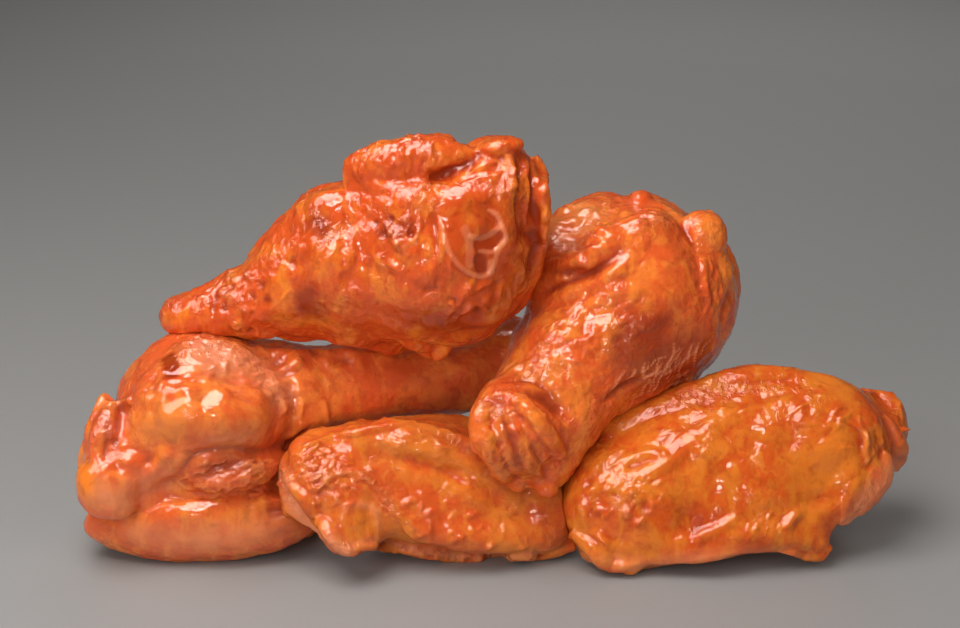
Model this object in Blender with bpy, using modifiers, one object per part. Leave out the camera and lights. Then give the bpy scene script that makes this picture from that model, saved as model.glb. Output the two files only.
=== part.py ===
"""A serving of chicken wings in a thick glossy sauce: three drumettes and two flats in one pile.

Each wing is one solid. Its meat is a few rounded masses run together, and its skin folds are
tapered rolls laid on top. Where a wing lies on its neighbour, it is dented by it.
Run with: blender --background --python part.py
"""

from math import radians

import bmesh
import bpy
from mathutils import Vector

# Driving dimensions. The wings are drawn in units of 0.92 mm: DRAWN_WIDTH units make the real width.
SERVING_WIDTH = 0.190     # metres, across the whole pile
DRAWN_WIDTH = 206.0       # units
UNIT = SERVING_WIDTH / DRAWN_WIDTH

CONTACT_GAP = 0.35        # air left between two wings that touch
MEAT_GRID = 1.6           # grid on which the meat masses run together
SKIN_GRID = 1.3           # grid on which the folds join the meat
MEAT_SMOOTHING = 14       # passes that round the meat
SKIN_SMOOTHING = 3        # passes that round the folds
UNEVENNESS = 1.9          # height of the uneven swelling of the meat
UNEVEN_SPACING = 11.0     # distance between swellings
WING_TRIANGLES = 1760     # triangles in one finished wing

# The block that trims the wings flat underneath.
TABLE_LENGTH = 400.0
TABLE_WIDTH = 300.0
TABLE_DEPTH = 40.0

SAUCE_COLOUR = (0.72, 0.17, 0.03, 1.0)
THIN_SAUCE_COLOUR = (0.80, 0.28, 0.04, 1.0)


def clear_scene():
    for obj in list(bpy.data.objects):
        bpy.data.objects.remove(obj)


def new_collection(name):
    collection = bpy.data.collections.new(name)
    bpy.context.scene.collection.children.link(collection)
    return collection


def sauce_material(name, colour):
    material = bpy.data.materials.new(name)
    material.use_nodes = True
    shader = material.node_tree.nodes["Principled BSDF"]
    shader.inputs["Base Color"].default_value = colour
    shader.inputs["Roughness"].default_value = 0.25
    shader.inputs["Metallic"].default_value = 0.0
    return material


def mesh_of(obj):
    """The mesh of an object with its modifiers and its place worked in; the object is removed."""
    graph = bpy.context.evaluated_depsgraph_get()
    mesh = bpy.data.meshes.new_from_object(obj.evaluated_get(graph))
    mesh.transform(obj.matrix_world)
    bpy.data.objects.remove(obj)
    return mesh


def lump(at, size, turn=(0, 0, 0)):
    """A rounded mass: an egg of half sizes (x, y, z) in units, turned by degrees about each axis."""
    bpy.ops.mesh.primitive_uv_sphere_add(segments=32, ring_count=20, radius=1.0)
    egg = bpy.context.object
    egg.location = Vector(at) * UNIT
    egg.scale = Vector(size) * UNIT
    egg.rotation_euler = [radians(angle) for angle in turn]
    bpy.context.view_layer.update()
    return mesh_of(egg)


def roll(*stations):
    """A tapered roll of skin through stations (x, y, z, radius) in units."""
    curve = bpy.data.curves.new("roll", "CURVE")
    curve.dimensions = "3D"
    curve.bevel_depth = UNIT
    curve.bevel_resolution = 4
    curve.use_fill_caps = True
    curve.resolution_u = 10
    spline = curve.splines.new("BEZIER")
    spline.bezier_points.add(len(stations) - 1)
    for point, (x, y, z, radius) in zip(spline.bezier_points, stations):
        point.co = Vector((x, y, z)) * UNIT
        point.radius = radius
        point.handle_left_type = "AUTO"
        point.handle_right_type = "AUTO"
    obj = bpy.data.objects.new("roll", curve)
    bpy.context.scene.collection.objects.link(obj)
    bpy.context.view_layer.update()
    mesh = mesh_of(obj)
    shape = bmesh.new()
    shape.from_mesh(mesh)
    bmesh.ops.remove_doubles(shape, verts=shape.verts, dist=1e-6)
    shape.to_mesh(mesh)
    shape.free()
    ends = [lump((x, y, z), (radius,) * 3) for x, y, z, radius in (stations[0], stations[-1])]
    return joined([mesh, *ends])


def joined(meshes):
    """One mesh that holds several closed shells."""
    shape = bmesh.new()
    for mesh in meshes:
        shape.from_mesh(mesh)
    whole = bpy.data.meshes.new("joined")
    shape.to_mesh(whole)
    shape.free()
    return whole


def run_together(mesh, grid, smoothing):
    """Overlapping shells made one skin on a grid (units), then rounded."""
    obj = bpy.data.objects.new("blend", mesh)
    bpy.context.scene.collection.objects.link(obj)
    remesh = obj.modifiers.new("run_together", "REMESH")
    remesh.mode = "VOXEL"
    remesh.voxel_size = grid * UNIT
    smooth = obj.modifiers.new("round", "SMOOTH")
    smooth.factor = 0.5
    smooth.iterations = smoothing
    return obj


def swelling():
    """The texture behind the uneven swelling of cooked meat."""
    texture = bpy.data.textures.new("swelling", "CLOUDS")
    texture.noise_scale = UNEVEN_SPACING * UNIT
    texture.noise_depth = 1
    return texture


def wing(name, meat, folds, at, turn, material, collection):
    """A finished wing: meat masses run together, folds laid on, put in its place in the pile."""
    body = run_together(joined(meat), MEAT_GRID, MEAT_SMOOTHING)
    uneven = body.modifiers.new("uneven", "DISPLACE")
    uneven.texture = swelling()
    uneven.strength = 2 * UNEVENNESS * UNIT
    uneven.mid_level = 0.5
    bpy.context.view_layer.update()
    skinned = run_together(joined([mesh_of(body), *folds]), SKIN_GRID, SKIN_SMOOTHING)
    skinned.location = Vector(at) * UNIT
    skinned.rotation_euler = [radians(angle) for angle in turn]
    bpy.context.view_layer.update()
    fine = mesh_of(skinned)
    fine.materials.append(material)
    fine.calc_loop_triangles()
    reduced = bpy.data.objects.new("reduced", fine)
    bpy.context.scene.collection.objects.link(reduced)
    fewer = reduced.modifiers.new("fewer_faces", "DECIMATE")
    fewer.ratio = WING_TRIANGLES / len(fine.loop_triangles)
    bpy.context.view_layer.update()
    coarse = mesh_of(reduced)
    coarse.shade_smooth()
    solid = bpy.data.objects.new(name, coarse)
    collection.objects.link(solid)
    return solid


def as_cutter(obj, collection):
    obj.hide_render = True
    obj.display_type = "WIRE"
    collection.objects.link(obj)
    return obj


def press_against(upper, lower, cutters):
    """Dents the upper wing where the lower one pushes into it, and leaves the contact gap."""
    swollen = as_cutter(bpy.data.objects.new(f"{lower.name}_into_{upper.name}", lower.data), cutters)
    grow = swollen.modifiers.new("grow", "DISPLACE")
    grow.strength = CONTACT_GAP * UNIT
    grow.mid_level = 0.0
    dent = upper.modifiers.new(f"dent_{lower.name}", "BOOLEAN")
    dent.operation = "DIFFERENCE"
    dent.object = swollen


def stand_flat(obj, table):
    """Trims what would sink into the table, so the wing rests on a flat spot."""
    trim = obj.modifiers.new("stand_flat", "BOOLEAN")
    trim.operation = "DIFFERENCE"
    trim.object = table


def table_block(cutters):
    bpy.ops.mesh.primitive_cube_add(size=1.0)
    block = bpy.context.object
    block.name = "table"
    for vertex in block.data.vertices:
        x, y, z = vertex.co
        vertex.co = Vector((x * TABLE_LENGTH, y * TABLE_WIDTH, (z - 0.5) * TABLE_DEPTH)) * UNIT
    block.users_collection[0].objects.unlink(block)
    return as_cutter(block, cutters)


def top_drumette(material, collection):
    """The drumette on top, its bone end down to the left."""
    meat = [
        lump((2.2, 0, -3), (26.8, 23, 24.5)),
        lump((20, -1, 9), (12, 14, 12)),
        lump((-20, 0, -1), (17, 18, 20.5)),
        lump((-34, 0, -2), (13, 13, 15)),
        lump((-47, 0, -4.5), (10, 9.5, 9.5)),
        lump((-56, 0, -4.5), (8, 8, 7.8)),
        lump((-63, 0, -4.5), (7.5, 7.5, 6.5)),
    ]
    folds = [
        roll((-10, -5, 22.8, 4.6), (-2, -8, 23.5, 5.2), (8, -8, 22.5, 5.2), (16, -8, 18.5, 4.0)),
        roll((25, -6, 17, 4.0), (28, -7, 9, 4.0), (27, -7, -1, 3.5), (24, -6, -11, 3.0)),
        roll((20, -10, 17, 3.2), (21.5, -14, 8, 3.2), (20, -16.5, -2, 2.6)),
        lump((-5, -6, -26), (3.5, 3, 4)),
        lump((-16, 3, -22), (6, 7, 6)),
    ]
    return wing("drumette_top", meat, folds, (-12.8, 18, 78), (0, -15, 0), material, collection)


def left_drumette(material, collection):
    """The drumette lying at the left, its shank reaching to the right under the top one."""
    meat = [
        lump((5, 0, 5.5), (21.5, 23, 22)),
        lump((-14, -2, 0), (13.5, 17, 14)),
        lump((-21, -1, -5), (9, 12, 9)),
        lump((4, 3, -13.5), (29, 21, 13.5)),
        lump((14, 4, -18), (21, 19, 14)),
        lump((25, 2, 4), (14, 15, 14)),
        lump((86, 7.5, -7), (12, 10, 12)),
    ]
    folds = [
        roll((34, 2, 3, 11), (54, 3, -1.5, 9), (70, 5, -6, 9), (84, 8, -9, 9.5)),
        roll((-22, -4, -14.5, 6), (-3, -7, -18.5, 8), (22, -4, -25, 7.5)),
        roll((-18, -3, 18, 2), (-21, -7, 12, 3.5), (-23, -8, 3, 4)),
        lump((-25, -2, -15), (4.5, 5, 4.5)),
        lump((42, 2, 8), (8, 7, 5)),
    ]
    return wing("drumette_left", meat, folds, (-72, 12, 27), (0, -12, 12), material, collection)


def right_drumette(material, collection):
    """The drumette leaning up and back at the right, its knuckle down in front."""
    meat = [
        lump((-1, 0, 0), (26, 24, 25)),
        lump((-14, 0, -1), (18, 21, 20)),
        lump((-28, 1, 0), (16, 17, 17.5)),
        lump((-40, 0, 0), (12, 13.5, 13.5)),
        lump((-38, -3.5, -3.5), (12, 12, 12)),
        lump((-51, -1, 2), (12, 13, 13)),
        lump((-49, -4, -9), (9.5, 9, 8.5)),
        lump((0, 13.5, 13.5), (18, 13, 11.5)),
        lump((18, 1, 8), (6, 8, 8)),
        lump((-11, 12.5, 16), (12, 11, 9.5)),
    ]
    folds = [
        lump((17, 7, 17.5), (3, 3, 3)),
        roll((-15, 3, 19.5, 5.5), (-6, -3, 22.5, 6.5), (4, -8, 20.5, 6.0), (10, -8, 16.5, 4.5)),
        roll((21, -1, 5, 5), (20.5, -8, -4.5, 5), (15, -11, -11.5, 4.8), (5, -12, -16, 4)),
    ]
    return wing("drumette_right", meat, folds, (42, 32, 57.5), (0, -27.8, 43.9), material, collection)


def front_flat(material, collection):
    """The flat in the middle of the front, leaning back on the left drumette's shank."""
    meat = [
        lump((2, 0, 1), (36, 10, 15.5)),
        lump((-22, 0, -2), (16, 9, 13)),
        lump((28, -1, -3), (17, 9, 10)),
        lump((-18, -1, -13), (9, 6, 8)),
        lump((6, 8.5, -8), (25, 8, 8)),
    ]
    folds = [
        roll((-20, -6, 8, 3.5), (0, -9, 9, 4), (18, -8, 4, 4), (34, -6, -4, 3.5)),
        roll((-30, 0, 6, 4), (-10, 2, 12, 5), (8, 3, 15, 5.5), (26, 2, 10, 5)),
        roll((-2, -3, -11.5, 4), (14, -4, -12, 4.5), (30, -4, -9.5, 4)),
        lump((-18, -2, -17.5), (4, 4, 4)),
    ]
    return wing("flat_front", meat, folds, (-12.5, 2, 18.5), (-40, 12, 7), material, collection)


def right_flat(material, collection):
    """The flat at the front right, plump, leaning back under the right drumette."""
    meat = [
        lump((-4, 0, 0), (38, 13, 20)),
        lump((20, 0, 2), (19, 12, 18)),
        lump((-26, -1, -4), (19.5, 12, 17)),
        lump((12, 0, -14), (11, 9, 9)),
        lump((31, 8, -0.5), (18.5, 8, 12), (0, -38, 0)),
        lump((0, 15, -8), (32, 9, 11)),
    ]
    folds = [
        roll((-38, -3, -14, 4.5), (-15, -5, -18, 5), (5, -4, -19, 5), (16, -1, -23, 3.5)),
        roll((-28, -3, 14, 4), (-8, -3, 18, 4.5), (10, -3, 19, 4.5), (25, -2, 14, 4.5)),
        roll((25, -2, 14, 4.5), (35, 1, 5, 4), (35, 3, -4, 3.5)),
        lump((-31, -4, -18.5), (3.5, 3.5, 4.5)),
    ]
    return wing("flat_right", meat, folds, (64.5, 7, 22), (-35, -10, 5), material, collection)


def middle_of(objects, axis):
    """The middle of the objects' common box along one axis."""
    graph = bpy.context.evaluated_depsgraph_get()
    reach = [
        (obj.matrix_world @ Vector(corner))[axis]
        for obj in objects
        for corner in obj.evaluated_get(graph).bound_box
    ]
    return (min(reach) + max(reach)) / 2


def centre_on_origin(wings):
    """Moves the pile, with its cutters, so that its origin is the bottom centre of its box."""
    shift = Vector((-middle_of(wings, 0), -middle_of(wings, 1), 0))
    for obj in bpy.data.objects:
        obj.location += shift
    bpy.context.view_layer.update()


def lay_pile():
    """Builds the wings and settles each one against those below it."""
    clear_scene()
    serving = new_collection("chicken_wings_serving")
    cutters = new_collection("cutters")
    sauce = sauce_material("sauce", SAUCE_COLOUR)
    thin_sauce = sauce_material("thin_sauce", THIN_SAUCE_COLOUR)
    left = left_drumette(sauce, serving)
    right = right_drumette(sauce, serving)
    top = top_drumette(sauce, serving)
    front = front_flat(thin_sauce, serving)
    corner = right_flat(thin_sauce, serving)
    table = table_block(cutters)
    for upper, lower in (
        (front, left), (front, corner), (right, left), (right, front), (right, corner),
        (top, left), (top, right),
    ):
        press_against(upper, lower, cutters)
    for obj in (left, front, corner):
        stand_flat(obj, table)
    bpy.context.view_layer.update()
    centre_on_origin((left, right, top, front, corner))


lay_pile()
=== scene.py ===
# %% [markdown]
# # A serving of chicken wings in a glossy sauce
#
# Three drumettes and two flats lie in a loose pile, coated in a thick, wet, orange-red sauce.
# Wings have no flat or repeated part at all, so the work here is close to clay modelling: a rounded
# mass, then folds and creases drawn on with brushes, then the fine wrinkles of fried skin, and
# last a sauce that is thick and smooth in some places and thin in others.
# The construction model gives the mass of every wing, and this file gives the skin and the sauce.

# %% Load the frame
import math

import bpy
import numpy as np
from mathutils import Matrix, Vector
from mathutils.bvhtree import BVHTree


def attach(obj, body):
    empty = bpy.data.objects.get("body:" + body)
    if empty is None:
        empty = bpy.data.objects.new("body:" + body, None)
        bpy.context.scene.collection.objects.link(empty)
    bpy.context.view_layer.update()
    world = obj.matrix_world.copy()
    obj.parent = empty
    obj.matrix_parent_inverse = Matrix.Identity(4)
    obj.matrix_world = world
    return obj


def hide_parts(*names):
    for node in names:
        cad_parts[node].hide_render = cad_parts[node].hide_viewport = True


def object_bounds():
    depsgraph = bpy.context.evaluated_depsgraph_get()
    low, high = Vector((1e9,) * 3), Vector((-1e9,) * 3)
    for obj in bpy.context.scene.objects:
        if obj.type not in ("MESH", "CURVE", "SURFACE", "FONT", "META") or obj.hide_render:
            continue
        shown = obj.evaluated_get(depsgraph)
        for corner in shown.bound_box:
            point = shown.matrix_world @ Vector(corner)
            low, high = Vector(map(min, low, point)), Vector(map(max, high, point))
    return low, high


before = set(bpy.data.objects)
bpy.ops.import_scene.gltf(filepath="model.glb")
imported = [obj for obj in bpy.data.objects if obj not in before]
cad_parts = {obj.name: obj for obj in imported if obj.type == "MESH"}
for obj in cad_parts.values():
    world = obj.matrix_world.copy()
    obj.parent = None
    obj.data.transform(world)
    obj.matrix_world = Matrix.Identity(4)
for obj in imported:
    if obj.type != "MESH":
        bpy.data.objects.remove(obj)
cad_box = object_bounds()
bpy.ops.object.select_all(action="DESELECT")

MM = 0.001
pile_low, pile_high = Vector(cad_box[0]), Vector(cad_box[1])
pile_size = pile_high - pile_low
print("the pile is", [round(side / MM, 1) for side in pile_size], "mm")

# %% [markdown]
# ## The viewer
#
# The pile is seen from slightly above, with a long lens from about half a metre. The same place is
# used twice: for the camera, and for the brushes. A brush stroke is drawn as a sculptor sees it,
# across the view from some place, and then cast on to the surface behind it. So a stroke is given
# in millimetres to the right of the aim and above it, and as a view.

# %% Where a viewer stands
AIM = Vector((-0.0039, -0.0011, 0.5436 * pile_size.z))   # metres, the middle of the view
VIEWING_DISTANCE = 0.553                                 # metres
LENS = 90.0                                              # mm
NEAREST_SEEN = 0.01                                      # metres
FRONT = (0, 20)                                          # azimuth and elevation in degrees


def viewer(azimuth, elevation):
    """The viewer's place, and the directions that are right and up for them."""
    turn, rise = math.radians(azimuth), math.radians(elevation)
    right = Vector((math.cos(turn), math.sin(turn), 0))
    back = Vector((math.sin(turn) * math.cos(rise), -math.cos(turn) * math.cos(rise), math.sin(rise)))
    return AIM + back * VIEWING_DISTANCE, right, back.cross(right)


def face_aim(thing):
    """Turns a camera or a light towards the aim."""
    thing.rotation_euler = (AIM - thing.location).to_track_quat("-Z", "Y").to_euler()


# %% Camera
bpy.ops.object.camera_add()
camera = bpy.context.object
camera.data.lens = LENS
camera.data.clip_start = NEAREST_SEEN
camera.location, _, _ = viewer(*FRONT)
face_aim(camera)
bpy.context.scene.camera = camera

# %% [markdown]
# ## From a coarse solid to a skin
#
# The construction solid has a few hundred facets, far too coarse for skin. Its copy is cut into a
# fine even grid by the Remesh modifier, and a Smooth modifier melts the facets away. Extra masses,
# such as flaps, are joined to the copy first, and the same remesh runs them into the skin.

# %% Helpers that work on one piece
def setup(thing, **settings):
    for name, value in settings.items():
        setattr(thing, name, value)
    return thing


def activate(piece):
    bpy.ops.object.select_all(action="DESELECT")
    piece.select_set(True)
    bpy.context.view_layer.objects.active = piece


def new_object(name, data):
    made = bpy.data.objects.new(name, data)
    bpy.context.scene.collection.objects.link(made)
    return made


def modify(piece, kind, **settings):
    """Adds a modifier, and applies it at once."""
    modifier = setup(piece.modifiers.new(kind, kind), **settings)
    activate(piece)
    bpy.ops.object.modifier_apply(modifier=modifier.name)


def regrid(piece, grid):
    """Cuts the piece into an even grid of squares, grid mm wide."""
    modify(piece, "REMESH", mode="VOXEL", voxel_size=grid * MM)


def soften(piece, passes):
    modify(piece, "SMOOTH", factor=0.5, iterations=passes)


def read_vectors(rows, name):
    """A named vector of every row, as one array."""
    flat = np.empty(len(rows) * 3, np.float32)
    rows.foreach_get(name, flat)
    return flat.reshape(-1, 3)


def points_of(piece):
    return read_vectors(piece.data.vertices, "co")


def normals_of(piece):
    return read_vectors(piece.data.vertex_normals, "vector")


def place_points(piece, points):
    piece.data.vertices.foreach_set("co", points.astype(np.float32).ravel())
    piece.data.update()


# %% The start of a wing
FACET_GRID = 0.7      # mm, the grid on which the facets are melted
FACET_PASSES = 22
PLUMPING = 0.3        # mm, given back to the skin because the softening shrinks it
SAME_POINT = 1e-6     # metres, within which two corners are merged


def copy_of_solid(name, node):
    """A merged, softened copy of a construction solid."""
    piece = new_object(name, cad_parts[node].data.copy())
    activate(piece)
    bpy.ops.object.mode_set(mode="EDIT")
    bpy.ops.mesh.select_all(action="SELECT")
    bpy.ops.mesh.remove_doubles(threshold=SAME_POINT)
    bpy.ops.object.mode_set(mode="OBJECT")
    regrid(piece, FACET_GRID)
    soften(piece, FACET_PASSES)
    place_points(piece, points_of(piece) + normals_of(piece) * PLUMPING * MM)
    return piece


# %% [markdown]
# ## Drawing on the surface
#
# Every mass and every brush stroke starts as a few points drawn across the view. A smooth line
# joins them, and each of its points is cast along the viewer's sight until it meets the wing. A
# point drawn just past the outline takes the nearest edge.

# %% Casting a drawn line on the surface
def smooth_line(points, spacing=0.6):
    """A line through the drawn points (mm), rounded at each one, as closely spaced points."""
    points = [np.array(point, float) for point in points]
    if len(points) == 1:
        return points
    ends = [2 * points[0] - points[1], *points, 2 * points[-1] - points[-2]]
    line = []
    for before, start, stop, after in zip(ends, ends[1:], ends[2:], ends[3:]):
        steps = max(2, int(np.linalg.norm(stop - start) / spacing))
        for t in np.arange(steps) / steps:
            line.append(
                0.5 * (2 * start + (stop - before) * t
                       + (2 * before - 5 * start + 4 * stop - after) * t ** 2
                       + (3 * start - before - 3 * stop + after) * t ** 3)
            )
    return [*line, points[-1]]


def tree_of(piece):
    faces = [face.vertices[:] for face in piece.data.polygons]
    return BVHTree.FromPolygons(points_of(piece).tolist(), faces)


EDGE_REACH = 4.0   # mm, how far past the outline a stroke may be drawn and still find the edge
EDGE_DEPTHS = np.linspace(-40, 40, 21) * MM   # where the edge is looked for, along the sight


def cast(tree, drawn, view=FRONT):
    """The points and normals of the surface behind a drawn line, or of the edge beside it."""
    place, right, up = viewer(*view)
    found = []
    for u, v in drawn:
        aim = AIM + right * u * MM + up * v * MM
        ray = (aim - place).normalized()
        hit, normal, _, _ = tree.ray_cast(place, ray)
        if hit is None:
            nearby = [tree.find_nearest(aim + ray * depth) for depth in EDGE_DEPTHS]
            hit, normal, _, gap = min(nearby, key=lambda close: close[3])
            if gap > EDGE_REACH * MM:
                continue
        found.append((hit, normal))
    return found


# %% [markdown]
# ## Fine relief
#
# Fried skin is wrinkled everywhere, but the sauce fills the finest wrinkles where it is thick.
# Displace modifiers with noise textures make the wrinkles. A vertex group made from the painted
# skin layer holds them back where the sauce is thick. Stretching the texture by an empty gives the
# wrinkles a direction, as along a shank.

# %% Relief from a noise texture
def relief(piece, kind, size, height, layer="", stretch=(1, 1, 1), turn=(0, 0, 0), **settings):
    """Noise relief: size in mm of its lumps, height in mm from lowest to highest."""
    texture = setup(bpy.data.textures.new(kind, kind), noise_scale=size * MM, **settings)
    bpy.ops.object.empty_add(rotation=[math.radians(angle) for angle in turn])
    axes = setup(bpy.context.object, scale=stretch)
    bpy.context.view_layer.update()
    modify(piece, "DISPLACE", texture=texture, texture_coords="OBJECT", texture_coords_object=axes,
           strength=height * MM, mid_level=0.5, vertex_group=layer)
    bpy.data.objects.remove(axes)
    bpy.data.textures.remove(texture)


# %% [markdown]
# ## Lumps, rolls and flaps
#
# Small masses that stand off the skin are real shapes and not relief, because they overhang. An
# egg is placed on the surface where the viewer sees it, and a roll is a tapered tube that follows
# the surface. Both are joined to the wing before the grid is cut again. Every size is in mm.

# %% A wing as clay
ROLL_SPACING = 1.5    # mm


class Clay:
    """A construction solid, on which masses are laid."""

    def __init__(self, name, node):
        self.node = node
        self.piece = copy_of_solid(name, node)
        self.read()

    def read(self):
        """Takes the surface as it is now, to lay masses on it or to brush it."""
        self.tree = tree_of(self.piece)
        self.points = points_of(self.piece)
        self.normals = normals_of(self.piece)

    def join(self, extra):
        activate(self.piece)
        extra.select_set(True)
        bpy.ops.object.join()

    def egg(self, spot, size, turn=0, raised=0):
        """An egg of half sizes (across, out, up) in mm, its middle raised off the skin."""
        (hit, _), = cast(self.tree, [spot])
        place, right, up = viewer(*FRONT)
        out = (place - hit).normalized()
        bpy.ops.mesh.primitive_ico_sphere_add(subdivisions=4, radius=MM)
        egg = bpy.context.object
        tilt = math.radians(turn)
        across = right * math.cos(tilt) + up * math.sin(tilt)
        along = up * math.cos(tilt) - right * math.sin(tilt)
        shape = np.array([across * size[0], out * size[1], along * size[2]])
        place_points(egg, points_of(egg) @ shape + np.array(hit + out * raised * MM))
        self.join(egg)

    def roll(self, drawn, thickness, raised=0):
        """A roll along a drawn line; thickness is its radius in mm at the start, middle and end."""
        found = cast(self.tree, smooth_line(drawn, ROLL_SPACING))
        curve = setup(bpy.data.curves.new("roll", "CURVE"), dimensions="3D",
                      bevel_depth=MM, bevel_resolution=4, use_fill_caps=True)
        spline = curve.splines.new("POLY")
        spline.points.add(len(found) - 1)
        for point, (hit, normal), t in zip(spline.points, found, np.linspace(0, 1, len(found))):
            point.co = (*(hit + normal * raised * MM), 1)
            point.radius = float(np.interp(t, [0, 0.5, 1], thickness))
        activate(new_object("roll", curve))
        bpy.ops.object.convert(target="MESH")
        self.join(bpy.context.object)


# %% [markdown]
# ## Brushes
#
# A brush moves the skin in or out along a drawn line, as a sculpting tool does. Four shapes cover
# what skin does: "round" for swellings and hollows, "sharp" for creases and ridges, "shelf" for
# the free edge of a fold, which is high on one side and drops off on the other, and "flat" for a
# patch. The same stroke can paint: sauce gathers in creases, and skin shows pale on ridges. Strokes
# also paint light: shade into gaps and undersides, and sheen, glints and light on to the skin.

# %% Brush shapes
def eased(share):
    return share * share * (3 - 2 * share)


def brush_shape(kind, reach, side):
    """How much of the stroke's height is felt at a share of its width (reach, 0 to 1)."""
    inside = np.clip(1 - reach, 0, 1)
    if kind == "sharp":
        return inside ** 2
    if kind == "shelf":
        return np.where(side > 0, eased(inside), np.clip(1 - 5 * reach, 0, 1))
    if kind == "flat":
        return np.clip(inside * 3, 0, 1)
    return eased(inside)


# %% A skin under the brushes
LAYERS = ("skin", "warm", "dark", "pale")
TO_FRONT = np.array((viewer(*FRONT)[0] - AIM).normalized())
FACING_GAIN = 4       # how fast a stroke dies out on skin that turns away from its viewer
HIDDEN_GAIN = 3       # the same for a hidden stroke, on skin that turns to the front


def weights(values):
    return np.clip(values, 0, 1)


class Skin(Clay):
    """The skin over the clay, which the brushes move and paint."""

    def skin_over(self, grid, passes, lumps, height, skin=0.5, warm=0, dark=0, pale=0):
        """One skin over all the masses, on a grid in mm, with broad relief and its first even paint.

        skin is fried skin bare of thick sauce, warm is yellow-orange, dark is deep red-brown from pooled
        sauce and stains and also painted shade, and pale is milky film and also painted sheen and glints.
        """
        regrid(self.piece, grid)
        soften(self.piece, passes)
        relief(self.piece, "CLOUDS", lumps, height)
        self.read()
        self.paints = {
            name: np.full(len(self.points), float(value))
            for name, value in zip(LAYERS, (skin, warm, dark, pale))
        }

    def stroke(self, drawn, width, height, kind="round", fade=True, view=FRONT, hidden=False, **paint):
        """A stroke through drawn; width is half its width, and a height below 0 goes in; all in mm.

        A stroke fades towards its ends. A hidden one leaves skin that the front sees alone. The
        paint is how much of each layer it adds.
        """
        found = cast(self.tree, smooth_line(drawn), view)
        if not found:
            print("a stroke missed", self.piece.name, drawn[0])
            return
        line = np.array([hit for hit, _ in found])
        reach_mm = width * MM
        near = np.flatnonzero(
            ((self.points > line.min(0) - reach_mm) & (self.points < line.max(0) + reach_mm)).all(1)
        )
        gaps = self.points[near, None, :] - line[None]
        far = np.einsum("ijk,ijk->ij", gaps, gaps)
        closest = far.argmin(1)
        reach = np.sqrt(far[np.arange(len(near)), closest]) / reach_mm
        to_viewer = np.array((viewer(*view)[0] - Vector(line.mean(0))).normalized())
        side = np.ones(len(near))
        if kind == "shelf":
            ahead = line[np.minimum(closest + 1, len(line) - 1)] - line[np.maximum(closest - 1, 0)]
            side = np.einsum("ij,ij->i", np.cross(to_viewer, ahead), self.points[near] - line[closest])
        felt = brush_shape(kind, reach, side)
        if fade and len(line) > 2:
            felt = felt * np.sin(np.pi * (closest + 0.5) / len(line)) ** 0.5
        felt = felt * weights(self.normals[near] @ to_viewer * FACING_GAIN + 1)
        if hidden:
            felt = felt * weights(-HIDDEN_GAIN * (self.normals[near] @ TO_FRONT))
        self.points[near] += self.normals[near] * (felt * height * MM)[:, None]
        for name, amount in paint.items():
            self.paints[name][near] += felt * amount

    def crease(self, drawn, width, height, **paint):
        """A sharp crease, or with a height above 0 a sharp ridge."""
        self.stroke(drawn, width, height, "sharp", **paint)

    def paint(self, drawn, width, fade=True, **paint):
        """Paint alone."""
        self.stroke(drawn, width, 0, fade=fade, **paint)


# %% [markdown]
# ## Many strokes at once
#
# Fried skin has far more wrinkles than anyone would draw, so most are scattered by chance along a
# few drawn lines. The sides that are hidden from the front get larger folds, all by chance.

# %% Dots, wrinkles and hidden folds
chance = np.random.default_rng(7)
unseen = np.random.default_rng(11)   # for the hidden sides alone
WRINKLE_SWING = 22                   # degrees
HIDDEN_VIEWS = ((110, 20), (180, 25), (250, 20))


def direction(angle):
    return np.array([math.cos(angle), math.sin(angle)])


def bent(middle, along, bend):
    """A short line through its middle, bent to one side by a share of its length."""
    return [middle - along, middle + np.array([-along[1], along[0]]) * bend, middle + along]


class FriedSkin(Skin):
    """A skin with strokes scattered over it."""

    def dots(self, spots, pit=0, **paint):
        """Small bumps and pits (right, above, radius, height); pit is how dark the pits are."""
        for u, v, radius, height in spots:
            dark = {"dark": pit} if height < 0 and pit else {}
            self.stroke([(u, v)], radius, height, **paint, **dark)

    def wrinkles(self, drawn, reach, count, length, lean, height, width, **paint):
        """Short bent ridges scattered up to reach mm from a drawn line, at the angle lean."""
        line = smooth_line(drawn)
        for _ in range(count):
            middle = line[chance.integers(len(line))] + chance.uniform(-reach, reach, 2)
            angle = math.radians(lean + chance.normal(0, WRINKLE_SWING))
            along = direction(angle) * length * chance.uniform(0.3, 0.7)
            self.stroke(bent(middle, along, chance.uniform(-0.35, 0.35)),
                        width * chance.uniform(0.75, 1.3), height * chance.uniform(0.5, 1.2), **paint)

    def fold_hidden_sides(self, count=55):
        """Folds, lumps and creases scattered over the sides that are hidden from the front."""
        for view in HIDDEN_VIEWS:
            _, right, up = viewer(*view)
            for point in self.points[unseen.integers(len(self.points), size=count)]:
                away = Vector(point) - AIM
                middle = np.array([away.dot(right), away.dot(up)]) / MM
                along = direction(unseen.uniform(0, math.pi)) * unseen.uniform(1, 6)
                drawn = bent(middle, along, unseen.uniform(-0.4, 0.4))
                width = unseen.uniform(1, 3)
                height = width * unseen.choice([0.4, -0.35])
                self.stroke(drawn, width, height, view=view, hidden=True,
                            dark=max(0, -0.4 * height), skin=0.1)


# %% [markdown]
# ## Sauce on the skin, and the wing on the pile
#
# Sauce levels the small hollows. How hollow each point is also goes to the material, which darkens the
# hollows as painted shade, and so do the painted layers, as attributes. The wings press on each other
# and on the table, so each one is kept out of those already laid.

# %% Soft patches, so that no painted layer is even
PATCH_OFFSET = np.array((0.37, 0.11, 0.73))   # metres, moves the noise so that two layers differ


def patches(piece, size, seed):
    """A soft patchy value from -1 to 1 at every point, its patches size mm wide."""
    texture = setup(bpy.data.textures.new("patches", "CLOUDS"), noise_scale=size * MM)
    places = (points_of(piece) + seed * PATCH_OFFSET).tolist()
    values = [texture.evaluate(place)[3] for place in places]
    bpy.data.textures.remove(texture)
    return (np.array(values) - 0.5) * 2


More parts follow.
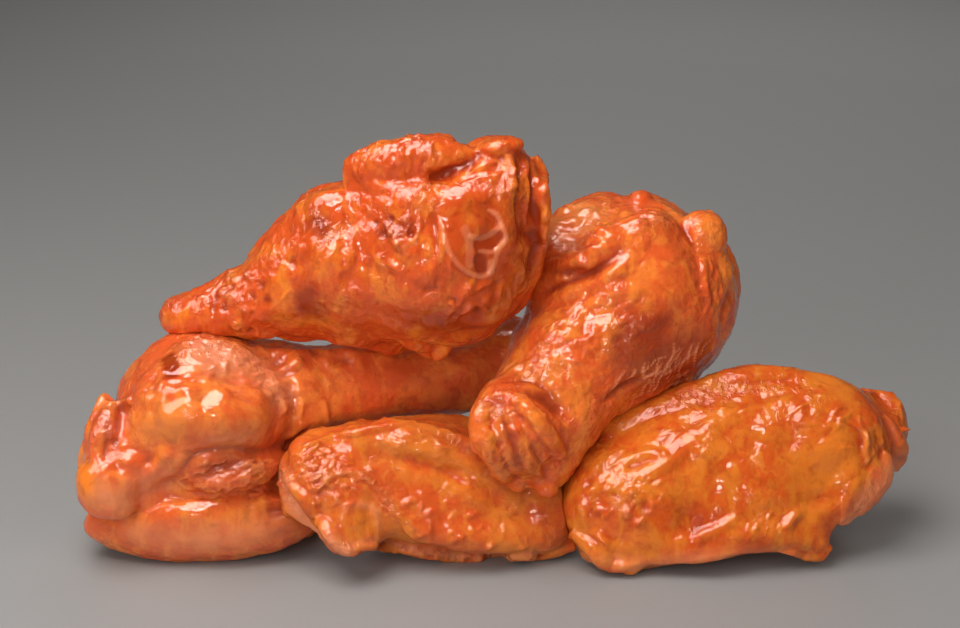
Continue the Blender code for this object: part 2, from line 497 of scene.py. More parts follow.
# %% How hollow the skin is at each point
def sinks(piece, passes):
    """How far each point lies below its softened surroundings, in mm; minus on ridges."""
    melted = new_object("melted", piece.data.copy())
    soften(melted, passes)
    below = points_of(melted) - points_of(piece)
    bpy.data.objects.remove(melted)
    return np.einsum("ij,ij->i", below, normals_of(piece)) / MM


# %% Sauce runs into the small hollows and levels them
def pour_sauce(piece, passes=16, share=0.6):
    """Fills hollows that are small against the softened skin; gives the sauce's depth in mm."""
    depth = np.clip(sinks(piece, passes), 0, None) * share
    place_points(piece, points_of(piece) + normals_of(piece) * depth[:, None] * MM)
    return depth


# %% Wings lie on the table and on each other
TOUCH = 0.05     # mm, left between two wings that touch
laid = []        # the finished wings, as (lowest corner, highest corner, tree)


def settle(piece):
    """Keeps a wing above the table and out of the wings already laid."""
    points = points_of(piece).astype(float)
    points[:, 2] = np.maximum(points[:, 2], 0)
    for low, high, tree in laid:
        for index in np.flatnonzero(((points > low) & (points < high)).all(1)).tolist():
            hit, normal, _, _ = tree.find_nearest(points[index])
            above = (Vector(points[index]) - hit).dot(normal)
            if above < TOUCH * MM:
                points[index] = hit + normal * TOUCH * MM
    place_points(piece, points)
    laid.append((points.min(0), points.max(0), tree_of(piece)))


# %% The finished wing
PATCHES = (("skin", 9, 0.5), ("warm", 14, 0.35))   # layer, size of its patches in mm, amount
FINE_RELIEF = (       # texture, size of its lumps in mm, height in mm, the layer that lets it show
    ("CLOUDS", 4.2, 0.5, "", {"noise_depth": 1}),
    ("CLOUDS", 2.6, 0.8, "skin", {"noise_depth": 1}),
    ("DISTORTED_NOISE", 1.7, 0.35, "skin", {"distortion": 1}),
)
FULL_POOL = 0.4       # mm, the depth of sauce that has its full colour
# The material darkens both kinds of hollow, as painted shade.
HOLLOWS = {"hollow": (12, 0.4), "deep": (80, 2.0)}   # small and large: softening, depth in mm


class Wing(FriedSkin):
    """A wing that can be finished and laid on the pile. Below, w is the wing in hand."""

    def store(self, name, values):
        attribute = self.piece.data.attributes.new(name, "FLOAT", "POINT")
        attribute.data.foreach_set("value", weights(values).astype(np.float32))

    def finish(self, slot, grain, turn):
        """Fine wrinkles, the layers as attributes, and the link to the construction solid."""
        piece = self.piece
        self.fold_hidden_sides()
        place_points(piece, self.points)
        for seed, (name, size, amount) in enumerate(PATCHES, 1):
            self.paints[name] += patches(piece, size, seed) * amount
        group = piece.vertex_groups.new(name="skin")
        for index, weight in enumerate(weights(self.paints["skin"]).tolist()):
            group.add((index,), weight, "REPLACE")
        for kind, size, height, layer, settings in FINE_RELIEF:
            relief(piece, kind, size, height, layer, grain, turn, **settings)
        pool = pour_sauce(piece)
        soften(piece, 1)
        settle(piece)
        piece.vertex_groups.clear()
        for name in LAYERS:
            self.store(name, self.paints[name])
        self.store("pool", pool / FULL_POOL)
        for name, (passes, depth) in HOLLOWS.items():
            self.store(name, 0.5 + sinks(piece, passes) / depth)
        activate(piece)
        bpy.ops.object.shade_smooth()
        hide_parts(self.node)
        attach(piece, "root")
        piece.data.calc_loop_triangles()
        print(piece.name, len(piece.data.loop_triangles), "triangles")


# %% [markdown]
# ## The left drumette
#
# The drumette is the upper arm of the wing: a thick bulge of meat at one end and a round shank at
# the other. This one lies with its bulge to the left. The meat that hangs out under the bulge is
# one long egg and two short ones, and the flaps of cut skin at the left end are upright rolls.

# %% Its masses and first skin
w = Wing("wing_left", "drumette_left")
w.roll([(-85, -20), (-86.5, -24.5), (-88, -31), (-87.5, -35)], (1.4, 2.6, 1.8), 0.3)
w.roll([(-80, -19.5), (-83.5, -22), (-84.5, -29)], (1.2, 2, 1.2), 0.2)
w.egg((-85.5, -40), (8, 6, 7.5), turn=-20, raised=-2.2)
w.egg((-85.5, -47.5), (5.5, 4, 4.2), raised=-1.2)
w.egg((-64.5, -48), (27, 9.5, 9.2), turn=1, raised=-4.6)
w.roll([(-65.5, -39.5), (-58.5, -38), (-51.5, -36), (-46, -33.5)], (1.6, 4.2, 2.8), -0.4)
# The even pale paint is a faint painted sheen over the whole wing.
w.skin_over(grid=0.445, passes=12, lumps=9, height=1.1, skin=0.3, warm=0.14, pale=0.16)

# %% The crease where the bulge folds over the lower roll
w.crease([(-73.5, -40.5), (-69, -36.5), (-65.5, -32.5), (-58, -31), (-50.5, -31.5), (-44, -29.5)],
         2.6, -1.5, dark=0.5)
w.stroke([(-78.5, -21), (-78, -25.5), (-77, -30.5)], 6.5, 1.8)
w.stroke([(-84, -44), (-78.5, -42.5), (-73.5, -40)], 5, -1, dark=0.15)
# Painted sheen: the lobe under the crease is paled as if it reflects the table.
w.stroke([(-80, -40), (-75.5, -39), (-71.5, -36.5), (-68.5, -32)], 4, 0.6, pale=0.25)

# %% Crinkled brown skin on the ledge below the crease
w.stroke([(-64.5, -36.5), (-59, -35), (-50.5, -35)], 5, -0.3, dark=0.7, skin=0.2)
# The pale on these wrinkles is painted glints.
w.wrinkles([(-67, -37.5), (-61, -36), (-55.5, -36), (-48.5, -36.5)], 3.2, 80, 2, 15, 0.8, 0.5, pale=0.3)
w.wrinkles([(-65.5, -39), (-59, -38.5), (-50.5, -39.5)], 2.4, 26, 3, 10, 0.7, 0.9)
w.wrinkles([(-74, -43), (-65.5, -43), (-57.5, -41.5)], 1.6, 16, 2.6, 5, 0.35, 0.8)

# %% The long wet top of the lower roll
w.stroke([(-79.5, -46), (-70.5, -46), (-61, -44.5), (-51.5, -42.5)], 6, 1.5, skin=-0.3)
w.stroke([(-76, -39.5), (-71.5, -39.5), (-66.5, -39)], 4, -1.2, skin=0.1)
w.crease([(-51, -39.5), (-53.5, -43), (-53, -46.5)], 2.4, -1.2, dark=0.5)
w.stroke([(-49.5, -45.5), (-45, -44.5), (-42.5, -43)], 3, -1.6, dark=0.8)

# %% The notch and the upright flaps at the left end
w.crease([(-81.5, -19), (-83, -22.5), (-83.5, -27), (-84, -32)], 2, -0.7, dark=0.4)
w.crease([(-86, -20.5), (-86, -26.5), (-86.5, -33)], 1.6, -0.5, dark=0.3)
w.stroke([(-84.5, -21.5), (-85, -26.5), (-85.5, -32.5)], 3, 0.9)
w.stroke([(-88, -35.5), (-86, -37)], 4, 1, skin=0.2)
w.paint([(-86, -20), (-86, -26.5), (-85, -32.5)], 6, dark=0.3, skin=0.4)
w.stroke([(-92, -32.5), (-92, -37), (-91, -39.5)], 4.4, 0.4, fade=False, warm=1.2, pale=-0.8, skin=-0.3)

# %% Dark bare spot, and the wrinkled skin beside it
w.stroke([(-72, -10), (-71, -12), (-71, -13.5)],
         3, -0.4, fade=False, dark=1.6, skin=-0.6, pale=-0.9, warm=-1)
w.paint([(-68.5, -9), (-63.5, -6), (-58, -8)], 7, skin=0.5)
w.wrinkles([(-68, -8.5), (-63, -6.5), (-57, -9)], 4, 40, 3, -10, 0.55, 0.8, skin=0.1)
w.wrinkles([(-76, -20), (-67, -15), (-55.5, -13.5), (-44, -17.5)], 6, 34, 4, 10, 0.5, 1.3, skin=-0.1)
w.wrinkles([(-64.5, -12), (-56.5, -13.5), (-48, -18.5)], 4.5, 50, 2.2, 15, 0.4, 0.7, skin=0.05)
w.wrinkles([(-52, -10.5), (-44, -11.5), (-31, -11)], 2, 14, 3.4, 5, 0.6, 1.3)

# %% The big bulge: flat wet facets that catch the light
w.dots([
    (-76, -19.5, 3.2, 0.9), (-72, -17, 3, 0.7), (-67, -18, 3.4, 1), (-62.5, -16, 3, 0.8),
    (-70, -21, 2.4, -0.6), (-64.5, -21, 2.2, -0.6), (-59.5, -19.5, 2.4, 0.8), (-74, -22, 2, -0.5),
    (-49, -18.5, 2.2, 0.9), (-45.5, -21.5, 2.2, 0.8), (-56.5, -15, 2.5, -0.6), (-80.5, -33.5, 3.2, 0.9),
    (-77, -30, 2.4, 0.8), (-72.5, -32, 3, 1), (-83.5, -35.5, 2.2, -0.7), (-76.5, -34, 2, -0.7),
    (-82.5, -30.5, 2, 0.6)
], skin=-0.15)
w.stroke([(-78, -25.5), (-72.5, -26.5), (-67, -24.5)], 6, 0.4, warm=0.8)
w.stroke([(-76.5, -21), (-67, -22.5), (-55.5, -23), (-47, -23.5)], 9, 3.8)
w.stroke([(-68.5, -8.5), (-61, -7), (-52, -9)], 6, 0.8)
w.stroke([(-64.5, -14), (-57.5, -14.5), (-50.5, -16)], 4, -1)
# Painted sheen: a broad pale highlight over the crinkled top of the bulge.
w.paint([(-63, -9), (-58, -10), (-51.5, -12.5), (-47.5, -18)], 8, fade=False, skin=0.25, pale=0.7)
w.wrinkles([(-63.5, -8.5), (-58, -10), (-51.5, -12.5), (-47.5, -17)], 5.5, 60, 3, 4, 0.6, 0.7)
w.stroke([(-86, -34.5), (-79.5, -34.5)], 3.2, 1, skin=0.3)
w.stroke([(-76, -36.5), (-74, -34.5), (-72, -32.5)], 2.4, 1.2, skin=-0.4)
w.stroke([(-78.5, -24), (-69, -25.5), (-56.5, -24)], 7, 0.3, skin=-0.6)
w.paint([(-83, -50), (-71.5, -51), (-57.5, -50.5), (-46, -47.5)], 6, skin=-0.5)

# %% Collar: upright ridges where the bulge meets the shank
w.stroke([(-54, -18), (-52.5, -22), (-52, -25.5), (-52, -30)], 1.8, 0.8, warm=0.6)
w.stroke([(-50, -15), (-49, -22), (-48, -28)], 3.6, -0.9, dark=0.25)
w.stroke([(-48, -9), (-45, -13.5), (-43.5, -20), (-43.5, -25.5), (-45, -29)], 2.8, -1.3, dark=0.4)
w.wrinkles([(-52.5, -16), (-50.5, -19.5), (-49, -23)], 3, 22, 2.4, 85, 0.6, 0.7, skin=-0.05)
# Painted shade in the gap between the bulge and the tip of the front flat.
w.crease([(-45, -30.5), (-42.5, -29.5), (-39.5, -27)], 3, -2.2, dark=0.9)
for top, foot in (((-49.5, -17.5), (-50, -21.5)), ((-41, -20.5), (-41.5, -23.5)),
                  ((-36, -20.5), (-35, -25.5))):
    w.stroke([top, foot], 1.4, 0.9, skin=-0.2)
w.paint([(-36.5, -21.5), (-36, -27)], 3, warm=0.8)

# %% Lumps on the upper edge of the shank
w.stroke([(-50.5, -8.5), (-41.5, -9), (-31, -9), (-21, -10)], 2.6, 0.9, fade=False)
w.dots([
    (-42, -11, 2.6, 1), (-38.5, -9.5, 2, -0.8), (-35, -10, 2.8, 1.3), (-31, -10.5, 2.2, -0.8),
    (-28, -11.5, 2.6, 0.8), (-46.5, -9.5, 2.2, 0.8)
])
# Painted shade: the shank is darker where the top drumette lies over it, and along its underside.
w.paint([(-21, -13.5), (-11.5, -16.5), (-2.5, -16.5), (4.5, -13)], 7.5, dark=0.6)
w.paint([(-21, -21.5), (-11.5, -20.5), (-3, -19.5)], 4, dark=0.5)

# %% Painted sheen: the table's pale reflection on the under edge and the lobe, and a broad highlight on the bulge; then painted shade where the drumette meets the front flat
w.paint([(-85.5, -47.5), (-78.5, -51), (-67, -52.5), (-55.5, -51.5), (-44, -49.5)], 7, pale=0.55)
w.paint([(-89, -41), (-86, -43), (-82.5, -43), (-78.5, -40), (-74, -38.5)], 7, fade=False, pale=0.55)
w.paint([(-65.5, -29), (-56.5, -28.5), (-48, -26.5)], 5.5, pale=0.5)
w.paint([(-69, -10.5), (-63.5, -11), (-57, -14)], 6, pale=0.5)
w.paint([(-50.5, -50.5), (-44, -48), (-40.5, -47.5)], 7, dark=0.8)
w.finish("sauce", grain=(1.6, 1, 1), turn=(0, 12, 12))

# %% [markdown]
# ## The right flat
#
# A flat is the forearm: two thin bones side by side in one pouch of skin. This one shows its broad
# face. The rims of the pouch are thick, so they are rolls, and the folds of its face are shallow,
# so they are strokes.

# %% Its masses and first skin
w = Wing("wing_corner", "flat_right")
w.roll([(21.5, -50.5), (26, -54), (30.5, -58), (37, -57.5)], (1.8, 2.6, 0.6), -0.4)
w.roll([(32.5, -58), (48.5, -57), (60.5, -55), (71.5, -56.5)], (0.6, 1.8, 0.6), -0.9)
w.roll([(69, -56), (75, -56.5), (79, -57), (80.5, -53.5)], (0.5, 2.2, 1.4), -0.2)
w.roll([(82.5, -24.5), (88, -27.5), (89, -33), (90, -37)], (1.2, 1.6, 0.6), -0.4)
w.roll([(93, -23.5), (95.5, -28), (97.5, -33), (96, -37)], (1.2, 2.4, 2.2), -0.4)
w.egg((87, -39.5), (10.5, 4, 6), turn=45, raised=-2.6)
w.egg((97, -26.5), (2.4, 0.6, 0.6), turn=-4, raised=0.6)
w.skin_over(grid=0.37, passes=4, lumps=9, height=0.6, skin=0.25, warm=0.3)

# %% The top fold, laid over the face of the flat
w.stroke([(37, -25.5), (41.5, -23), (48, -21), (56, -20.5), (62, -20.5), (70, -18.5), (74, -19.5),
          (76.5, -22.5), (82, -24.5)], 2.2, -0.35, dark=0.2)
w.crease([(55.5, -16.5), (64.5, -15.5), (74, -15)], 1.8, -0.5, dark=0.1)

# %% The long wet ridge that runs down to the left
w.stroke([(31.5, -37), (38, -36.5), (42.5, -35), (46, -31.5), (52, -26.5), (61, -21.5)], 4, 0.9, skin=-0.2)
w.wrinkles([(45, -32), (52, -26.5), (61, -21.5)], 1.6, 26, 2.4, 35, 0.35, 0.7)
w.wrinkles([(31.5, -36), (38, -35), (42.5, -33.5)], 1.6, 10, 2.4, 15, 0.3, 0.7)
w.stroke([(32.5, -34), (37, -32.5), (42, -32)], 2.2, 0.9, skin=-0.3)
w.crease([(33.5, -39), (39, -38.5), (44.5, -36), (48.5, -32)], 2.2, -0.6)
w.crease([(32.5, -35.5), (39, -34)], 1.6, -0.9)
w.wrinkles([(27.5, -29), (29.5, -36), (27.5, -43)], 4, 40, 2.2, 50, 0.4, 0.6, skin=0.1)
w.wrinkles([(39, -24.5), (46, -25.5), (53, -24.5)], 3.4, 24, 1.8, 40, 0.25, 0.5)
w.wrinkles([(48.5, -16.5), (60, -17), (74, -16.5), (83, -20)], 2.6, 24, 1.8, 5, 0.2, 0.5)
w.wrinkles([(34.5, -39.5), (39, -41.5), (37, -46.5)], 3.4, 24, 2.6, 30, 0.5, 0.8, skin=0.1)
w.wrinkles([(74, -22), (80.5, -23.5), (85.5, -29)], 3, 24, 2.8, 30, 0.4, 0.8)
# The pale on these wrinkles is painted sheen.
w.wrinkles([(90.5, -26.5), (92, -32.5)], 3, 18, 3.4, 80, 0.35, 0.7, skin=0.1, pale=0.1)
w.stroke([(48.5, -33), (53, -31), (57.5, -29)], 5, 0.7)
w.stroke([(62.5, -27), (70, -26)], 5, 0.5)
w.stroke([(23.5, -35.5), (25, -32), (27.5, -27.5)], 5, 1.3)

# %% The valley and the lobe to its right
w.stroke([(72, -24.5), (71, -29), (68.5, -33), (67.5, -37.5)], 5, -0.7, dark=0.2)
w.stroke([(78.5, -29), (82.5, -33), (84.5, -38.5)], 8, 0.9, warm=0.7)
w.stroke([(74, -43), (79.5, -42.5), (84, -40.5)], 3, -0.8, dark=0.2)
w.stroke([(81, -44.5), (84.5, -40), (87.5, -35)], 5, 1.4)
# The pale on these wrinkles is painted sheen.
w.wrinkles([(85.5, -44.5), (89.5, -41), (93.5, -37)], 3.4, 20, 3, 50, 0.3, 0.6, pale=0.2)

# %% Upright folds of stretched skin
w.stroke([(54.5, -30.5), (53.5, -37.5), (54.5, -46.5)], 2.6, -0.2, dark=0.1)
w.stroke([(51.5, -33.5), (50.5, -37), (52, -43)], 2.4, 0.15, warm=0.35)
w.stroke([(58.5, -35.5), (57, -38.5), (58.5, -42)], 2.6, 0.2, warm=0.6)

# %% Lower face: dark hollow, then the long wet streak over the rim
w.stroke([(45, -44.5), (49.5, -47.5), (53.5, -48)], 6, -0.5, dark=0.45)
w.stroke([(49, -52), (52, -50.5), (56, -49), (59.5, -46.5)], 2, 0.8, skin=-0.3)
w.wrinkles([(49, -52), (52, -50.5), (56, -49), (59.5, -46.5)], 1.4, 18, 2, 50, 0.4, 0.7)
w.stroke([(70, -50), (72, -47), (74, -45.5)], 2, 1.2, skin=-0.2)
w.stroke([(26.5, -50.5), (28, -52), (30, -53.5)], 1.8, 1.2, skin=-0.2)
w.stroke([(23, -43), (24, -46.5), (24.5, -49.5)], 2.2, 1.2)
w.stroke([(22.5, -53), (30, -56), (41.5, -55), (55.5, -53), (69, -54), (77.5, -55)], 2.6, -0.35, skin=0.2)
w.dots([
    (26.5, -36, 2.4, 0.9), (25, -39, 2, -0.7), (28.5, -40.5, 2.2, 0.8), (31.5, -42, 2, -0.8),
    (35, -41.5, 2.2, 0.9), (38, -44.5, 2, -0.7), (33.5, -46, 2, 0.8), (36.5, -48, 1.8, 0.8),
    (27, -45, 1.8, 0.7), (27.5, -30.5, 2, 0.7)
], skin=0.3)
w.wrinkles([(64, -48), (68, -48), (71.5, -48)], 2.6, 16, 3, 88, 0.35, 0.6)

# %% The layer that shows behind the face on the right
w.crease([(82.5, -24.5), (87, -26.5), (88, -32), (89, -36.5)], 2.6, -1.3, dark=0.6)
w.crease([(90.5, -24.5), (92, -30), (93, -35)], 1.8, -0.8, dark=0.5)
w.crease([(93.5, -23.5), (95, -29), (95.5, -34)], 1.5, -1, dark=0.3)
# Painted sheen: the pale on the right end stands for light glancing off it from the right.
w.paint([(85.5, -47), (89.5, -43), (94, -38.5), (97, -34)], 6, fade=False, skin=0.1, warm=-0.3, pale=0.9)
w.paint([(38.5, -22.5), (48.5, -19), (62.5, -17), (74, -17), (80.5, -20)], 5, skin=0.45)
w.stroke([(90.5, -16), (94.5, -18.5), (98, -22)], 6.5, -3, skin=0.4)
w.stroke([(81.5, -43), (83.5, -45.5), (83, -49)], 4, 1.5)
w.paint([(25.5, -56), (37, -57), (50.5, -56), (64.5, -54), (74, -55)], 4, skin=-0.6)
# Painted light: the rim along the bottom is paler, as if lit by the pale table.
w.paint([(25.5, -56.5), (37, -58), (50.5, -56.5), (64.5, -55), (74, -56)], 3.5, pale=0.6)
w.paint([(91.5, -22), (96, -29), (97.5, -33.5)], 4, dark=0.3, pale=0.3)
w.finish("thin_sauce", grain=(1, 1, 1.5), turn=(0, -10, 0))

# %% [markdown]
# ## The front flat
#
# This flat lies lowest, with its two bones along it as yellow ridges. One brush stroke cuts its left
# end in before any roll is laid, because the rim there overhangs the cut.

# %% Its masses and first skin
w = Wing("wing_front", "flat_front")
w.stroke([(-47, -37.5), (-46.5, -41), (-45, -45), (-42, -50)], 9, -4.5, fade=False)
place_points(w.piece, w.points)
w.read()
w.roll([(-44.5, -35), (-41.5, -41), (-37, -46.5), (-32.5, -53), (-28.5, -54.5)], (1.6, 2.2, 1.4), 0.1)
w.roll([(-31.5, -54.5), (-25, -53.5), (-16, -54), (-7, -56)], (0.8, 1.8, 1.6))
w.roll([(-7, -56), (4.5, -56.5), (14, -55.5), (22, -53.5)], (1.6, 1.8, 1.4), 0.2)
w.roll([(-41, -31), (-34.5, -28.5), (-25.5, -26.5), (-14, -25), (-6.5, -25.5)], (1, 1.4, 0.4), -0.2)
# The even pale paint is a faint painted sheen.
w.skin_over(grid=0.31, passes=4, lumps=8, height=1, skin=0.3, warm=0.32, pale=0.08)
w.paint([(-41.5, -36), (-33.5, -38.5), (-27.5, -43)], 9, skin=0.3)
w.paint([(-18.5, -43), (-4.5, -47.5), (14, -51)], 9, warm=-0.3)
w.paint([(-9, -46.5), (2.5, -50), (16, -52)], 9, skin=-0.45)
w.paint([(-23, -41.5), (-14, -45.5), (-2.5, -44)], 7, warm=-0.35)

# %% The two bones show as long yellow ridges
w.stroke([(-29.5, -30), (-21, -30), (-13, -31.5), (-5.5, -34), (2.5, -38.5), (9, -43.5)],
         3.2, 1.1, warm=0.8)
w.stroke([(-20.5, -37), (-14, -37.5), (-7, -39.5), (1.5, -44.5), (9, -50)], 3.4, 0.7, warm=0.7)
w.stroke([(-23, -33.5), (-15.5, -34), (-8, -37), (0, -41.5)], 2.2, -0.6)
w.stroke([(-14, -26.5), (-6.5, -29), (-1, -32.5)], 2.6, -0.7, dark=0.4)

# %% The free edge of the skin across the middle
w.stroke([(-38, -41.5), (-34.5, -38), (-30, -37), (-25.5, -39), (-21, -44.5), (-16.5, -48.5),
          (-12.5, -50.5)], 2.8, 0.9, "shelf", skin=0.3)

# %% The little cup, with its raised rim
w.stroke([(-29.5, -47.5), (-26.5, -48)], 4.5, 0.3, warm=0.2, skin=-0.4)
w.stroke([(-26.5, -51), (-22, -51)], 3.6, 0.8)
w.stroke([(-32, -46.5), (-30, -44.5), (-27, -44), (-24.5, -45), (-23.5, -48.5), (-24, -51)],
         1.8, 0.5, skin=0.1, pale=0.5)

# %% Wet wrinkles on the left
w.dots([
    (-41.5, -38, 2, 0.7), (-38.5, -35, 1.8, 0.5), (-37, -39, 1.8, -0.4), (-34.5, -34, 1.8, 0.5),
    (-37.5, -43, 2, 0.7), (-33, -43, 2.4, 0.8), (-29.5, -40, 1.6, 0.5), (-25, -36, 1.6, 0.5)
], skin=0.3)
w.crease([(-39.5, -40.5), (-37, -40), (-34, -37.5)], 1.4, 1, skin=-0.3)
w.wrinkles([(-42.5, -36), (-35.5, -34), (-30, -36)], 3.8, 56, 1.8, 25, 0.6, 0.6, skin=0.1)
w.wrinkles([(-27.5, -38.5), (-24, -43), (-18.5, -47.5)], 2.6, 26, 2.2, -30, 0.5, 0.7, skin=0.15)
w.wrinkles([(-18.5, -29), (-9, -32), (0, -38.5)], 2.6, 22, 3.2, -30, 0.45, 0.9)
w.wrinkles([(-14, -47.5), (-4.5, -50), (9, -53.5)], 3.6, 16, 1.8, 70, 0.4, 0.7)

# %% Small sparkling pimples over the right half
for u, v in ((-7.5, -33.5), (-18, -30), (-11.5, -32), (-7, -39.5), (-2, -46.5), (7.5, -45.5),
             (-11.5, -46), (-5.5, -52), (2.5, -53.5), (10, -54), (-13.5, -51), (-30.5, -44),
             (-16.5, -43.5), (14.5, -47.5)):
    w.stroke([(u - 1, v - 0.3), (u + 0.8, v + 0.5)], 1.3, 0.65, skin=0.15)
w.crease([(-11.5, -47.5), (-11.5, -52.5)], 1.2, 0.9)
w.crease([(-19, -44.5), (-17.5, -49), (-15, -52)], 1.2, 0.8)
# Painted shade where the flat runs under the right flat; the next stroke makes the flat darker towards the
# right drumette's knuckle.
w.paint([(14, -44), (18.5, -47.5), (22, -51)], 8, dark=0.7)
w.paint([(-2, -29), (4.5, -36), (11.5, -43)], 5, dark=0.7)

# %% The ragged rim: pale from its own curled skin, and from painted light of the pale table below
w.stroke([(-45.5, -37), (-42.5, -44), (-38, -49.5), (-31.5, -55)], 4.2, 0.4, fade=False, skin=0.4, pale=0.8)
w.paint([(-31.5, -54.5), (-23, -52), (-11.5, -55), (4.5, -56.5), (18.5, -54)], 2.2, skin=0.3, pale=0.6)
for spot in ((-17.5, -54), (-11, -56), (-2.5, -57), (6, -57), (14, -56)):
    w.stroke([spot], 1.4, -0.8, skin=0.4)
w.finish("thin_sauce", grain=(1.5, 1, 1), turn=(0, 12, 0))

# %% [markdown]
# ## The right drumette
#
# This drumette leans on the pile, its knuckle towards the viewer. The two ridges of the knuckle are
# rolls, and the round bumps at both ends of the wing are eggs.

# %% Its masses and first skin
w = Wing("wing_right", "drumette_right")
w.egg((37, 26.5), (2.6, 2.6, 2.2), raised=0.5)
w.egg((50.5, 17), (6.4, 5, 7.4), turn=-30, raised=-3.2)
w.roll([(53, 16), (56, 12), (57.5, 7), (59, 2)], (3.5, 4.6, 2.6), -3)
w.roll([(1, -20.5), (0.5, -26), (3, -32), (6.5, -38.5)], (2, 2.8, 2.2), 0.4)
w.roll([(7.5, -19.5), (11.5, -22.5), (15, -27), (18.5, -32.5)], (1.6, 2.4, 1.6), 0.5)
w.egg((8, -39), (2.6, 2.2, 3), raised=0.2)
w.egg((15.5, -40.5), (2.6, 2.2, 2.2))
# The even pale paint is a faint painted sheen.
w.skin_over(grid=0.405, passes=4, lumps=8, height=1.2, skin=0.4, warm=0.18, pale=0.08)

# %% The long groove between the upper lobe and the main ridge
w.crease([(14.5, 5), (20, 7), (26, 9.5), (30.5, 13), (33, 15)], 2.8, -2, dark=0.6)
w.stroke([(15, 3), (21, 5), (27, 7.5), (31.5, 10.5), (35, 12.5)], 2.6, 1.2, skin=-0.3)
w.stroke([(27.5, 4), (32.5, 5), (37, 5.5)], 2.6, 1)

# %% Dark clear sauce and folds on the upper lobe
w.stroke([(19, 16), (23.5, 15.5), (27.5, 17)], 3.6, -0.5, dark=0.1, skin=0.1)
# Painted light: warm and pale paint lighten the lobe where the top drumette shades it.
w.paint([(17.5, 20.5), (21, 17), (23, 23)], 8, fade=False, warm=0.5, pale=0.35)
w.crease([(17, 19), (22, 18), (27, 19.5), (30.5, 18)], 1.5, 1.1)
w.crease([(17.5, 14.5), (22.5, 13.5), (27, 14.5), (29, 16)], 1.5, 1.1)
w.stroke([(18.5, 11.5), (23, 12), (26.5, 11)], 2.2, 1.2)
w.stroke([(17.5, 9.5), (22, 9.5)], 2, -1.2, dark=0.5)
w.dots([
    (19, 23.5, 2.6, 0.9), (23, 25, 2.4, -0.7), (26.5, 23, 2.6, 0.9), (30.5, 21.5, 2.2, -0.7),
    (33.5, 23, 2.4, 0.9), (22, 21, 2, 0.8), (37, 20.5, 2.4, 0.7), (28.5, 20.5, 1.8, 0.8)
], skin=0.2)
w.crease([(32, 21), (37, 22.5), (42.5, 21.5), (46, 18)], 1.6, 1, skin=0.2)
w.crease([(38.5, 25), (42.5, 24.5), (46, 21), (48.5, 17), (50, 13.5)], 2.2, -1.1, dark=0.4)

# %% Yellow lobe at the upper right, and upright folds below it
w.stroke([(50.5, 22), (54, 20), (55, 16)], 4.5, 0.5, warm=0.8)
w.crease([(48.5, 15), (50.5, 10), (50.5, 5.5), (52.5, 2)], 1.9, -0.5, dark=0.45)
w.crease([(53, 15), (54, 9), (53.5, 3), (55, -1.5)], 1.9, -0.4, dark=0.4)
w.stroke([(51.5, 13.5), (52, 6.5), (53.5, 0.5)], 1.6, 0.8)
w.stroke([(58, 5.5), (56.5, 0.5), (56, -3.5)], 2.4, -0.9, skin=0.2)

# %% Broken light on the main ridge, and its yellow flank
w.dots([(20, 0.5, 2, 0.5), (26, -3.5, 2.2, 0.5)], skin=0.15)
w.stroke([(32.5, -1), (30.5, -6), (27.5, -11)], 4, 0.4, warm=0.7)
w.paint([(6.5, -11), (11.5, -14.5), (18.5, -16)], 4.5, warm=0.9)
w.stroke([(37, 12), (42, 6.5), (42.5, 2)], 7, 0.4, warm=0.2, skin=-0.7)
w.paint([(26.5, 3), (29, -2), (27.5, -7)], 4, warm=0.6)
w.paint([(37, -2), (43, -1), (48.5, 3)], 5, dark=0.55)
w.wrinkles([(17.5, 19), (23, 17), (28.5, 18.5)], 3, 24, 3.4, 5, 0.5, 0.8, skin=0.1)
w.paint([(15.5, 10.5), (21, 9.5), (25.5, 12)], 3, dark=0.5)
w.wrinkles([(39, 13), (41.5, 9.5), (43.5, 7)], 3, 26, 2, 30, 0.35, 0.6, skin=0.15)
w.wrinkles([(17.5, -1), (22, -2.5), (25, -7)], 4.4, 40, 3.4, 38, 0.5, 0.8, skin=0.1)
w.wrinkles([(18.5, 3), (24, 4), (30.5, 6.5)], 4, 34, 3.4, 32, 0.55, 0.9, skin=0.05)
w.wrinkles([(18.5, 23.5), (25.5, 23), (34.5, 22.5), (44, 20.5)], 3, 40, 2.8, 15, 0.55, 0.9, skin=0.15)
w.wrinkles([(18.5, 13.5), (24, 13), (27.5, 15)], 2.6, 18, 3, 10, 0.6, 0.9)
w.wrinkles([(52, 12), (53.5, 5.5), (55, 0)], 2.6, 20, 3.4, 80, 0.5, 0.8)
w.wrinkles([(26.5, 3), (32.5, 5), (34.5, 2)], 2.4, 10, 4.2, 35, 0.5, 1.2)
w.wrinkles([(9, -13), (15, -8.5)], 3.4, 12, 3.2, 60, 0.4, 1)

# %% Long ridges of stretched skin on the lower right flank, with painted reflections on the ridges and painted shade over the flank
w.wrinkles([(37, -18.5), (44.5, -14.5), (51, -8.5)], 5, 44, 4, 58, 0.4, 0.55, skin=0.1, pale=1.2, dark=-0.5)
w.paint([(37, -7.5), (40.5, -11), (48.5, -9.5)], 12, fade=False, dark=1.3, warm=-1)
w.paint([(34.5, -20.5), (42.5, -18.5), (50.5, -13.5), (56.5, -7)], 8, dark=0.5)
w.crease([(29, -20), (32.5, -17), (37, -15)], 2.2, -1.5, dark=0.6)

# %% The collar round the knuckle
w.crease([(4.5, -15.5), (9, -15), (13, -15.5), (16.5, -18.5), (19, -23)], 2.6, -1.3, dark=0.5)
w.stroke([(7.5, -13), (10.5, -12), (14, -12)], 1.8, 0.9)

